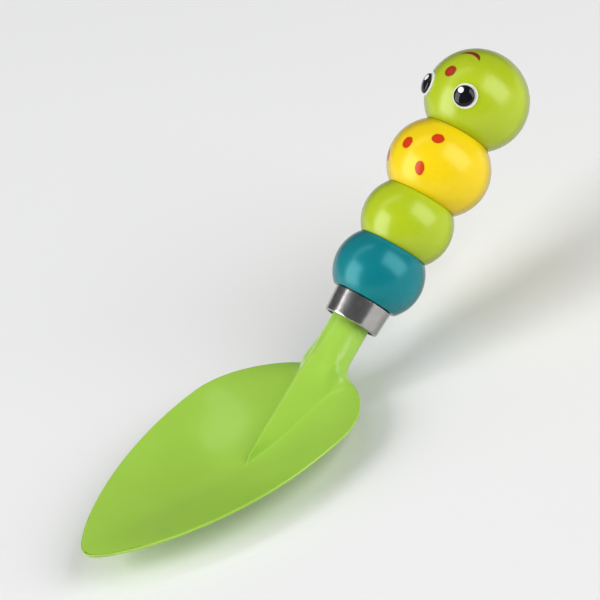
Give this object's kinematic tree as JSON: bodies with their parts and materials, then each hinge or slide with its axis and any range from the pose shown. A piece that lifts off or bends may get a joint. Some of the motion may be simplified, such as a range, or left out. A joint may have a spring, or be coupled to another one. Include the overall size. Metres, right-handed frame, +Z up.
{
  "type": "hand shovel",
  "caption": "Child's hand shovel: a dished pressed steel blade with a rolled neck, on a cranked handle of turned wooden beads that ends in a smiling bug's head.",
  "frame": {"origin": "middle of the bounding box's underside, on the surface that the blade's back touches", "axes": "+X from the blade's tip towards the handle's head, +Y across the blade, +Z up out of the scoop; the blade's rim is level"},
  "size_m": [0.225, 0.0732, 0.0862],
  "materials": {
    "lime_paint": "gloss lime green paint on pressed steel",
    "chrome": "polished chrome",
    "teal_lacquer": "gloss teal lacquer on turned wood",
    "green_lacquer": "gloss yellow-green lacquer on turned wood",
    "yellow_lacquer": "gloss yellow lacquer on turned wood, with red spots",
    "head_lacquer": "gloss yellow-green lacquer on turned wood, with a red nose and smile",
    "steel": "plain drawn steel",
    "brass": "plain machined brass",
    "eye_black": "gloss black",
    "eye_white": "gloss white"
  },
  "bodies": {
    "root": {"blade": "lime_paint", "ferrule": "chrome", "teal_bead": "teal_lacquer", "green_bead": "green_lacquer", "yellow_bead": "yellow_lacquer", "head_bead": "head_lacquer", "tang_rod": "steel", "threaded_insert": "brass", "left_eye": "eye_black", "right_eye": "eye_black", "left_eye_ring": "eye_white", "right_eye_ring": "eye_white"}
  },
  "joints": []
}
